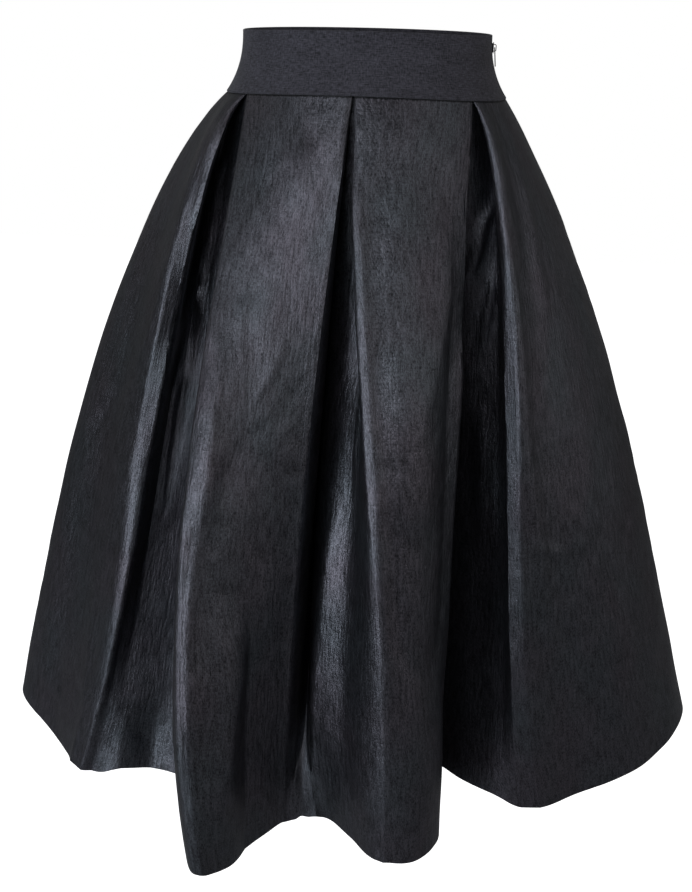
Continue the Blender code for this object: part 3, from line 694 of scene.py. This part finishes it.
def blend(kit, factor, low, high):
    """A colour that goes from `low` to `high` as the factor goes from 0 to 1."""
    settings = {"data_type": "RGBA", "clamp_factor": True}
    return kit.node("ShaderNodeMix", settings, {"Factor": factor, "A": low, "B": high}, output=MIX_COLOUR)


def noise_on(kit, vector, detail=2.0, scale=1.0, roughness=0.5):
    return kit.node(
        "ShaderNodeTexNoise",
        None,
        {"Vector": vector, "Scale": scale, "Detail": detail, "Roughness": roughness},
    )


# %% Taffeta
# A painted shade: the cloth's colour is darkened just below the band, where the band's edge would shade it.
SEAM_SHADOW = 0.0022  # how far below the band the cloth stays dark, in metres


def taffeta_material():
    material, kit, shader = new_material("black_taffeta")
    slub = noise_on(kit, thread_map(kit, 0.0009, 0.0030), detail=2, roughness=0.7)
    streak = noise_on(kit, thread_map(kit, 0.0030, 0.0170), detail=2)
    cloud = noise_on(kit, thread_map(kit, 0.0300, 0.0500), detail=2)
    tint = noise_on(kit, thread_map(kit, 0.0700, 0.1100), detail=2)
    weft = noise_on(kit, thread_map(kit, 0.0070, 0.0010), detail=1)
    relief = slub * 0.3 + streak * 0.6 + weft * 0.12 + cloud * 1.8
    bump = bump_from(kit, relief, 1.0, 0.001)
    gloss = 0.58 + (slub - 0.5) * 2.3 + (streak - 0.5) * 1.2 + (weft - 0.5) * 0.5 + (cloud - 0.5) * 0.3
    down = kit.node("ShaderNodeSeparateXYZ", None, {"Vector": coordinates(kit, COORD_UV)}, output=1)
    # Painted shade under the band's edge: the thread colour is darkened over the first few millimetres below
    # the seam.
    painted_seam_shade = (SEAM_SHADOW + down) / SEAM_SHADOW
    gloss = gloss - painted_seam_shade.math("MAXIMUM", 0.0) * 1.2
    warm_or_cool = (tint - 0.5) * 3.0 + 0.5
    thread = blend(kit, warm_or_cool, (0.098, 0.091, 0.107, 1), (0.087, 0.095, 0.108, 1))
    tone = blend(kit, gloss, (0.012, 0.0124, 0.0142, 1), thread)
    dress(shader, base_color=tone, metallic=0.85, roughness=0.30 + streak * 0.10, normal=bump)
    return material


taffeta = taffeta_material()
print("made", taffeta.name)


# %% Band cloth
BAND_SEAM_AT = 0.055  # metres round the band from its end: the join of the band's outer cloth
BAND_SEAM_HALF = 0.0009


def band_material():
    material, kit, shader = new_material("matte_band_cloth")
    warp = noise_on(kit, thread_map(kit, 0.0011, 0.0040), detail=2, roughness=0.6)
    weft = noise_on(kit, thread_map(kit, 0.0050, 0.0011), detail=2, roughness=0.6)
    cloud = noise_on(kit, thread_map(kit, 0.0300, 0.0150), detail=3)
    relief = warp * 0.5 + weft * 0.6
    bump = bump_from(kit, relief, 0.8, 0.0006)
    across = kit.node("ShaderNodeSeparateXYZ", None, {"Vector": coordinates(kit, COORD_UV)})
    seam_line = 1.0 - (across - BAND_SEAM_AT).math("ABSOLUTE") / BAND_SEAM_HALF
    shade = 0.42 + (warp - 0.5) * 1.5 + (weft - 0.5) * 1.6 + (cloud - 0.5) * 0.5
    shade = shade - seam_line.math("MAXIMUM", 0.0) * 0.28
    tone = blend(kit, shade, (0.010, 0.010, 0.013, 1), (0.068, 0.065, 0.082, 1))
    dress(shader, base_color=tone, roughness=0.82, normal=bump)
    dress(shader, specular_ior_level=0.25, sheen_weight=0.12, sheen_roughness=0.5)
    return material


band_cloth = band_material()
print("made", band_cloth.name)

# %% [markdown]
# The band's node tree: a grid of one by one is the band laid flat. Its x runs round the body and its y runs
# up. Set Position bends it: x becomes an angle, and y becomes a height with its own oval.


# %% Grow the band
BAND_SIZES = ("Top Half Width", "Top Half Depth", "Seam Half Width", "Seam Half Depth", "Height",
              "Flare Power", "Front Lift", "Top Lift", "Start Angle", "End Angle")
BAND_INPUTS = [(name, "Float") for name in BAND_SIZES] + [("Columns", "Int"), ("Rows", "Int")]
BAND_COLUMNS, BAND_ROWS = 180, 40
BAND_ROUNDING = {"width": 0.0009, "segments": 3, "limit_method": "ANGLE", "angle_limit": math.radians(50)}
MEAN_RADIUS = 0.1  # of the band, for its thread map


def band_tree(material):
    kit, value = new_geometry_tree("shaped_band", BAND_INPUTS)
    grid_node = kit.node(
        "GeometryNodeMeshGrid",
        None,
        {"Size X": 1.0, "Size Y": 1.0, "Vertices X": value["Columns"], "Vertices Y": value["Rows"]},
    ).socket.node
    grid = Field(kit.tree, grid_node.outputs["Mesh"])
    stored = kit.node(
        "GeometryNodeStoreNamedAttribute",
        {"data_type": "FLOAT2", "domain": "CORNER"},
        {"Geometry": grid, "Name": "threads", "Value": Field(kit.tree, grid_node.outputs["UV Map"])},
    )
    place = kit.node("ShaderNodeSeparateXYZ", None, {"Vector": kit.node("GeometryNodeInputPosition")})
    across, up = place, Field(kit.tree, place.socket.node.outputs[1])
    angle = value["Start Angle"] + (value["End Angle"] - value["Start Angle"]) * (across + 0.5)
    flare = (0.5 - up) ** value["Flare Power"]
    front = angle.math("COSINE").math("MAXIMUM", 0.0)
    lift = (0.5 - up) * value["Front Lift"] + (0.5 + up) * value["Top Lift"]
    width = value["Top Half Width"] + (value["Seam Half Width"] - value["Top Half Width"]) * flare
    depth = value["Top Half Depth"] + (value["Seam Half Depth"] - value["Top Half Depth"]) * flare
    bent = kit.node(
        "ShaderNodeCombineXYZ",
        None,
        {
            "X": width * angle.math("SINE"),
            "Y": -(depth * angle.math("COSINE")),
            "Z": up * value["Height"] + lift * front * front,
        },
    )
    moved = kit.node("GeometryNodeSetPosition", None, {"Geometry": stored, "Position": bent})
    smooth = kit.node("GeometryNodeSetShadeSmooth", None, {"Geometry": moved})
    return finish_geometry_tree(kit, smooth, material)


def build_band():
    tree = band_tree(band_cloth)
    slot = ZIP_SLOT / 2 / BAND_TOP_HALF[1]
    quarter = math.pi / 2
    bands = {}
    for name, start, end in (
        ("waistband_front", -quarter, quarter - slot),
        ("waistband_back", quarter + slot, 3 * quarter),
    ):
        values = {
            "Top Half Width": BAND_TOP_HALF[0] + PIECE_GAP,
            "Top Half Depth": BAND_TOP_HALF[1] + PIECE_GAP,
            "Seam Half Width": SEAM_HALF[0] + PIECE_GAP,
            "Seam Half Depth": SEAM_HALF[1] + PIECE_GAP,
            "Height": BAND_HEIGHT - PIECE_GAP / 2,
            "Flare Power": BAND_FLARE_POWER,
            "Front Lift": FRONT_LIFT,
            "Top Lift": TOP_LIFT,
            "Start Angle": start,
            "End Angle": end,
            "Columns": BAND_COLUMNS,
            "Rows": BAND_ROWS,
        }
        thick = ("SOLIDIFY", {"thickness": BAND_WALL, "offset": 0.0, "use_even_offset": True})
        shaping = (thick, ("BEVEL", BAND_ROUNDING))
        bands[name] = grown(name + "_cloth", bpy.data.meshes.new(name), tree, values, shaping)
        scale_uv(bands[name].data, math.pi * MEAN_RADIUS, BAND_HEIGHT)
        print(name, "has", len(bands[name].data.polygons), "faces")
    return bands


def scale_uv(mesh, width, height):
    """Turns a map that runs from 0 to 1 into one in metres."""
    layer = mesh.uv_layers.get("threads") or mesh.uv_layers[0]
    layer.name = "threads"
    flat = np.zeros(len(layer.data) * 2, np.float32)
    layer.data.foreach_get("uv", flat)
    flat = flat.reshape(-1, 2) * (width, height)
    layer.data.foreach_set("uv", flat.reshape(-1).astype(np.float32))


bands = build_band()

# %% [markdown]
# ## The zip's finish
# The slider and its tab are small castings in black lacquer. The tapes are a plain narrow weave.


# %% Metal and tape
def zip_metal_material():
    material, kit, shader = new_material("black_zip_metal")
    place = coordinates(kit, COORD_OBJECT)
    wear = noise_on(kit, place, detail=3, scale=900.0)
    bump = bump_from(kit, wear, 0.2, 0.0001)
    dress(shader, base_color=(0.02, 0.02, 0.022, 1), metallic=0.6, roughness=0.26 + wear * 0.16, normal=bump)
    return material


def tape_material():
    material, kit, shader = new_material("zip_tape_weave")
    place = coordinates(kit, COORD_OBJECT)
    wave = {"Vector": place, "Scale": 900.0, "Distortion": 0.6}
    ribs = kit.node("ShaderNodeTexWave", {"bands_direction": "Z"}, wave, output=1)
    bump = bump_from(kit, ribs, 0.5, 0.0003)
    dress(shader, base_color=(0.012, 0.012, 0.014, 1), roughness=0.85, normal=bump)
    return material


zip_metal = zip_metal_material()
tape_weave = tape_material()
for node, material in (
    ("zip_slider", zip_metal),
    ("zip_pull_tab", zip_metal),
    ("zip_tape_front", tape_weave),
    ("zip_tape_back", tape_weave),
):
    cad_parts[node].data.materials.clear()
    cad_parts[node].data.materials.append(material)
print("zip dressed")

# %% [markdown]
# ## Sewing and zip teeth
# Stitches and teeth are small and all alike: a machine sets them at even steps along a line. A node tree
# does the same. It walks along a line, drops one small rounded form at every step and turns it to the line.
# Its step and its three sizes are inputs, so one tree serves the band's seam, the hem, the tapes and the
# teeth. The forms have few faces, since each is less than two millimetres long.

# %% A tree that sets one small form at every step of a line
STEP_SIZES = ("Step", "Deep", "Wide", "Long", "Wander")
STEP_INPUTS = [(name, "Float") for name in STEP_SIZES] + [("Seed", "Int")]
FORM_SIDES = 6
FORM_RINGS = 4


def stepping_tree(name, material):
    kit, value = new_geometry_tree(name, STEP_INPUTS)
    line = kit.node("GeometryNodeMeshToCurve", None, {"Mesh": value["Geometry"]})
    pace = {"Curve": line, "Length": value["Step"]}
    steps = kit.node("GeometryNodeResampleCurve", {"mode": "LENGTH"}, pace)
    round_form = {"Segments": FORM_SIDES, "Rings": FORM_RINGS, "Radius": 1.0}
    ball = kit.node("GeometryNodeMeshUVSphere", None, round_form)
    form = kit.node("GeometryNodeSetShadeSmooth", None, {"Geometry": ball})
    heading = kit.node(
        "FunctionNodeAlignRotationToVector", {"axis": "Z"}, {"Vector": kit.node("GeometryNodeInputTangent")}
    )
    stretch = kit.node(
        "FunctionNodeRandomValue",
        {"data_type": "FLOAT"},
        {2: 1.0 - value["Wander"], 3: 1.0 + value["Wander"], "Seed": value["Seed"]},
        output=1,
    )
    size = kit.node(
        "ShaderNodeCombineXYZ", None, {"X": value["Deep"], "Y": value["Wide"], "Z": value["Long"] * stretch}
    )
    setting = {"Points": steps, "Instance": form, "Rotation": heading, "Scale": size}
    placed = kit.node("GeometryNodeInstanceOnPoints", None, setting)
    return finish_geometry_tree(kit, placed, material)


def line_mesh(name, lines):
    """A mesh of loose edges that joins each list of points into one line."""
    points, edges = [], []
    for line in lines:
        first = len(points)
        points += [tuple(float(value) for value in point) for point in line]
        edges += [(number, number + 1) for number in range(first, len(points) - 1)]
    mesh = bpy.data.meshes.new(name)
    mesh.from_pydata(points, edges, [])
    return mesh


def thread_material(name, colour, roughness):
    material, kit, shader = new_material(name)
    place = coordinates(kit, COORD_OBJECT)
    twist = noise_on(kit, place, detail=2, scale=1500.0)
    bump = bump_from(kit, twist, 0.4, 0.0001)
    dress(shader, base_color=(*colour, 1), roughness=roughness + twist * 0.1, normal=bump)
    return material


# %% The lines that the stitches and teeth follow
SIDE_COLUMNS = 12  # columns on each side of the seam that a zip line can reach
ZIP_POINTS = 24  # points of a zip line on the band
ZIP_TOP_END = 0.001  # how far a zip line stops below the tape's top
ZIP_FOOT_END = 0.006  # and above its foot, as a share of the length
SEAM_POINTS = 200
SEAM_END = 0.03  # radians of seam left free beside the closure
SIDE_END = 0.01  # and at the other side seam
BAND_STITCH_Z = SEAM_Z + 0.0017
HEM_STITCH_DEPTH = 1.45  # walls inside the middle surface, at the turning's inner face
HEM_STITCH_GAP = 2  # columns left free at a side seam


def band_line(angles, z, out):
    """Points at a height on the band, `out` metres outside the middle of its wall."""
    up = z / (BAND_HEIGHT - PIECE_GAP / 2)
    flare = (0.5 - up) ** BAND_FLARE_POWER
    half = np.array(BAND_TOP_HALF) * (1 - flare) + np.array(SEAM_HALF) * flare + PIECE_GAP
    rise = ((0.5 - up) * FRONT_LIFT + (0.5 + up) * TOP_LIFT) * np.maximum(0, np.cos(angles)) ** 2
    return np.stack([(half[0] + out) * np.sin(angles), -(half[1] + out) * np.cos(angles), z + rise], axis=-1)


def band_face(angles, z):
    """How far outside the middle of its sloping wall the band's face is, measured level."""
    height = BAND_HEIGHT - PIECE_GAP / 2
    rate = BAND_FLARE_POWER * (0.5 - z / height) ** (BAND_FLARE_POWER - 1) / height
    wider = np.array(SEAM_HALF) - np.array(BAND_TOP_HALF)
    slope = rate * np.hypot(wider[0] * np.sin(angles), wider[1] * np.cos(angles))
    return BAND_WALL / 2 * np.hypot(1, slope)


def zip_line(round_by, depth):
    """Points down the closure, `round_by` metres from the seam and `depth` inside the middle of the walls."""
    points = []
    for z in np.linspace(TAPE_TOP_Z - ZIP_TOP_END, SEAM_Z, ZIP_POINTS):
        angle = math.pi / 2 + round_by / BAND_TOP_HALF[1]
        points.append(band_line(np.array([angle]), z, -depth)[0])
    near = slice(STARTS[1] - SIDE_COLUMNS, STARTS[1] + SIDE_COLUMNS + 1)
    for row in range(1, int(np.searchsorted(LEVELS, TAPE_FOOT - ZIP_FOOT_END))):
        here = folded[row, near]
        inside = here - folded_normals[row, near] * depth
        lengths = np.concatenate([[0], np.cumsum(np.linalg.norm(np.diff(here, axis=0), axis=1))])
        lengths -= lengths[SIDE_COLUMNS]
        points.append([np.interp(round_by, lengths, inside[:, axis]) for axis in range(3)])
    return points


folded_normals = surface_normals(folded)
slot_angle = ZIP_SLOT / BAND_TOP_HALF[1]
front_angles = np.linspace(-math.pi / 2 + SIDE_END, math.pi / 2 - slot_angle - SEAM_END, SEAM_POINTS)
back_angles = np.linspace(math.pi / 2 + slot_angle + SEAM_END, 3 * math.pi / 2 - SIDE_END, SEAM_POINTS)
band_seam = [
    band_line(turns, BAND_STITCH_Z, band_face(turns, BAND_STITCH_Z)) for turns in (front_angles, back_angles)
]
hem_row = int(np.argmax(turned_up))
hem_inside = (cloth - cloth_normals * HEM_STITCH_DEPTH * CLOTH_WALL)[hem_row, : STARTS[2] + 1]
hem_line = [hem_inside[: STARTS[1] - HEM_STITCH_GAP], hem_inside[STARTS[1] + HEM_STITCH_GAP :]]
print("seam line", len(band_seam[0]), "points, hem line", len(hem_inside), "points")

# %% Set the stitches and the teeth
band_thread = thread_material("band_thread", (0.045, 0.045, 0.053), 0.75)
dark_thread = thread_material("dark_thread", (0.02, 0.02, 0.024), 0.6)
coil_nylon = thread_material("coil_nylon", (0.018, 0.018, 0.02), 0.5)
TOOTH_OFFSET = 0.00075  # from the seam to the middle of a row of teeth
TOOTH_HALF_WIDE = 0.0008  # each row meets the other at the seam and ends behind the band's edge
TEETH_DEPTH = TAPE_BACK + 0.0004
TAPE_STITCH_AT = 0.009
SEWING = (
    # name, lines, material, slot, step, then half of how deep, wide and long one is, how much lengths wander
    ("band_seam_stitches", band_seam, band_thread, "band_cloth", 0.0024, (0.00020, 0.00020, 0.0010), 0.08),
    ("hem_stitches", hem_line, dark_thread, "taffeta", 0.0065, (0.00018, 0.00018, 0.0009), 0.25),
    ("zip_tape_stitches", [zip_line(side * TAPE_STITCH_AT, TAPE_BACK) for side in (1, -1)], dark_thread,
     "tape_cloth", 0.0025, (0.00022, 0.00022, 0.0010), 0.08),
    ("zip_teeth_front", [zip_line(-TOOTH_OFFSET, TEETH_DEPTH)], coil_nylon, "zip_metal",
     0.0014, (0.00055, TOOTH_HALF_WIDE, 0.00045), 0.0),
    ("zip_teeth_back", [zip_line(TOOTH_OFFSET, TEETH_DEPTH)[1:]], coil_nylon, "zip_metal",
     0.0014, (0.00055, TOOTH_HALF_WIDE, 0.00045), 0.0),
)
sewing = {}
for seed, (name, lines, material, slot, step, (deep, wide, long), wander) in enumerate(SEWING):
    tree = stepping_tree(name + "_tree", material)
    values = {"Step": step, "Deep": deep, "Wide": wide, "Long": long, "Wander": wander, "Seed": seed}
    sewing[name] = grown(name, line_mesh(name + "_line", lines), tree, values)
    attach(sewing[name], "cloth")
    print(name, "has", len(sewing[name].data.polygons), "faces")

# %% Dress the cloth and tie every piece to the frame
for name, piece in cloths.items():
    piece.data.materials.append(taffeta)
    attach(piece, "cloth")
    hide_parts(name)
for name, piece in bands.items():
    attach(piece, "cloth")
    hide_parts(name)

for name, first, last in CLOTH_SPANS:
    part = base[:, first : last + 1]

# %% [markdown]
# ## Studio
# A pale floor, a dim room that the camera sees as white, one tall soft lamp on the camera's left and seven
# weaker ones round the skirt. The camera stands in front, a little to the wearer's left and just above the
# waist, and looks down at the skirt.

# %% Floor
FLOOR_Z = -1.05
FLOOR_HALF = 4.0


def floor_material():
    """Paper that the camera sees as white as the room, and that throws little light back on the cloth."""
    material, kit, shader = new_material("pale_paper")
    dress(shader, base_color=(0.92, 0.92, 0.92, 1), roughness=0.9, specular_ior_level=0.1)
    dress(shader, emission_color=(1.0, 1.0, 1.0, 1), emission_strength=1.1)
    dim = kit.node("ShaderNodeBsdfDiffuse", None, {"Color": (0.40, 0.40, 0.41, 1)})
    seen = kit.node("ShaderNodeLightPath")
    bright = Field(kit.tree, shader.outputs[0])
    mixed = kit.node("ShaderNodeMixShader", None, {0: seen, 1: dim, 2: bright})
    end = material.node_tree.nodes["Material Output"]
    kit.tree.links.new(mixed.socket, end.inputs["Surface"])
    return material


def build_floor():
    """A flat floor with nothing upright behind the skirt, so that the skirt can be seen from all round."""
    sides = ((-1, -1), (1, -1), (1, 1), (-1, 1))
    corners = [(across * FLOOR_HALF, along * FLOOR_HALF, FLOOR_Z) for across, along in sides]
    mesh = bpy.data.meshes.new("floor")
    mesh.from_pydata(corners, [], [(0, 1, 2, 3)])
    floor = add_piece("floor", mesh)
    mesh.materials.append(floor_material())
    return floor


build_floor()

# %% Lamps and room
ROOM_LIGHT = 0.14  # what the room gives the cloth, as a share of the white that the camera sees
LAMPS = (
    # name, degrees round from the front and up, (width, height), watts, colour
    ("front_softbox", (-8, 22), (0.9, 0.7), 10.0, (0.92, 0.95, 1.0)),
    ("tall_window", (-36, -6), (1.1, 2.3), 44.0, (0.86, 0.93, 1.0)),
    ("side_softbox", (32, 20), (0.8, 0.45), 2.6, (1.0, 0.96, 0.98)),
    ("low_reflector", (52, 8), (0.5, 0.6), 2.4, (1.0, 0.98, 0.98)),
    ("left_overhead", (-60, 50), (0.8, 1.0), 3.0, (1.0, 1.0, 1.0)),
    ("right_overhead", (55, 46), (0.8, 1.0), 3.5, (1.0, 1.0, 1.0)),
    ("right_edge", (85, 10), (0.8, 1.6), 3.3, (1.0, 0.98, 0.98)),
    ("left_edge", (-105, 28), (0.8, 0.9), 1.0, (1.0, 1.0, 1.0)),
)
LIT_POINT = Vector((0, 0, -0.38))
LAMP_DISTANCE = 2.5


def add_lamp(name, angles, size, watts, colour):
    turn, rise = (math.radians(angle) for angle in angles)
    way = Vector((math.sin(turn) * math.cos(rise), -math.cos(turn) * math.cos(rise), math.sin(rise)))
    light = bpy.data.lights.new(name, "AREA")
    light.shape, light.size, light.size_y = "RECTANGLE", *size
    light.energy, light.color = watts, colour
    lamp = bpy.data.objects.new(name, light)
    lamp.location = LIT_POINT + way * LAMP_DISTANCE
    lamp.rotation_euler = way.to_track_quat("Z", "Y").to_euler()
    bpy.context.scene.collection.objects.link(lamp)


for row in LAMPS:
    add_lamp(*row)
world = bpy.data.worlds.new("white_room")
world.use_nodes = True
room = Tree(world.node_tree)
seen = room.node("ShaderNodeLightPath")
background = world.node_tree.nodes["Background"]
background.inputs["Color"].default_value = (1.0, 1.0, 1.0, 1)
room.tree.links.new((ROOM_LIGHT + seen * (1.0 - ROOM_LIGHT)).socket, background.inputs["Strength"])
bpy.context.scene.world = world
bpy.context.scene.view_settings.view_transform = "Standard"
print(len(LAMPS), "lamps")

# %% Camera
CAMERA_DISTANCE = 1.30
CAMERA_SIDE = -0.0124  # how far it stands right of its own line to the origin: below zero is left
CAMERA_HEIGHT = 0.09
CAMERA_TURN = 7.0  # degrees round from the front, towards the wearer's left
CAMERA_PITCH = 20.93
CAMERA_ROLL = 1.17
FOCAL_PIXELS = 1255.18
PICTURE_WIDTH = 692
SENSOR_WIDTH = 36.0


def add_camera():
    turn, pitch, roll = (math.radians(v) for v in (CAMERA_TURN, CAMERA_PITCH, CAMERA_ROLL))
    level = Vector((math.cos(turn), math.sin(turn), 0))
    ahead = Vector((-math.sin(turn), math.cos(turn), 0))
    forward = ahead * math.cos(pitch) - Vector((0, 0, math.sin(pitch)))
    above = level.cross(forward)
    right = level * math.cos(roll) + above * math.sin(roll)
    up = right.cross(forward)
    data = bpy.data.cameras.new("front_camera")
    data.sensor_fit = "HORIZONTAL"
    data.sensor_width = SENSOR_WIDTH
    data.lens = FOCAL_PIXELS / PICTURE_WIDTH * SENSOR_WIDTH
    camera = bpy.data.objects.new("front_camera", data)
    place = -ahead * CAMERA_DISTANCE + level * CAMERA_SIDE + Vector((0, 0, CAMERA_HEIGHT))
    camera.matrix_world = Matrix.Translation(place) @ Matrix((right, up, -forward)).transposed().to_4x4()
    bpy.context.scene.collection.objects.link(camera)
    bpy.context.scene.camera = camera
    return camera


camera = add_camera()
print("camera at", [round(v, 3) for v in camera.location])
